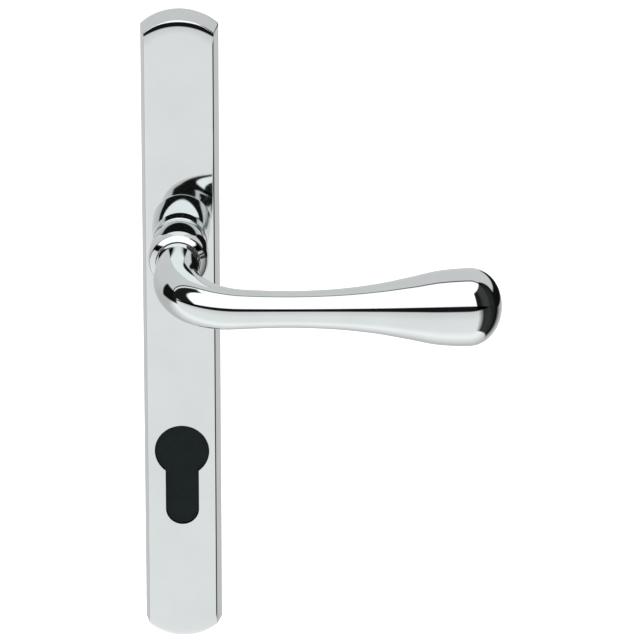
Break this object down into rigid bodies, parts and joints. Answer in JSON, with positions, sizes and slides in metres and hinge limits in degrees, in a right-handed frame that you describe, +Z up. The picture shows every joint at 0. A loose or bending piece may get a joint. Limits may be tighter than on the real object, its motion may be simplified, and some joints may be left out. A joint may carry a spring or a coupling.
{
  "type": "lever door handle on a narrow backplate",
  "caption": "Polished lever handle on a long narrow backplate with a euro profile opening, return spring, square spindle and concealed threaded fixing pillars.",
  "frame": {"origin": "on the spindle axis, in the plane of the door face that the backplate rests on", "axes": "+X along the lever at rest, +Y into the door along the spindle, +Z up along the backplate"},
  "size_m": [0.1132, 0.1304, 0.213],
  "materials": {
    "polished_plate": "mirror polished chrome plate",
    "polished_lever": "mirror polished chrome plate",
    "zinc_steel": "bright zinc plated steel",
    "spring_steel": "oiled spring steel",
    "black_steel": "blackened steel",
    "cast_zinc": "as-cast zinc alloy",
    "bearing_brass": "turned brass",
    "black_nylon": "moulded glass filled nylon",
    "pale_nylon": "natural nylon",
    "foam_rubber": "closed cell foam",
    "charcoal_plastic": "matt charcoal plastic"
  },
  "bodies": {
    "backplate": {"cover_plate": "polished_plate", "neck_collar": "polished_plate", "collar_nut": "zinc_steel", "neck_bush": "bearing_brass", "thrust_washer": "pale_nylon", "base_plate": "black_nylon", "gasket": "foam_rubber", "fixing_pillars": "zinc_steel", "pillar_nuts": "bearing_brass", "base_screws": "zinc_steel", "stop_pins": "zinc_steel"},
    "lever": {"lever": "polished_lever", "spindle": "zinc_steel", "grub_screw": "black_steel", "spring_carrier": "cast_zinc", "return_spring": "spring_steel", "circlip": "black_steel", "shim_washer": "zinc_steel", "disc_spring": "spring_steel"},
    "blank": {"cylinder_blank": "charcoal_plastic"}
  },
  "joints": [
    {"name": "lever_turn", "type": "hinge", "parent": "backplate", "child": "lever", "pos_m": [0, 0, 0], "axis": [0, 1, 0], "range_deg": [-45, 45], "stiffness_Nm_per_rad": 1.2, "springref_deg": -4.86, "deforming": ["return_spring"]},
    {"name": "blank_release", "type": "slide", "parent": "backplate", "child": "blank", "axis": [0, 1, 0], "range_m": [0, 0.009]}
  ]
}
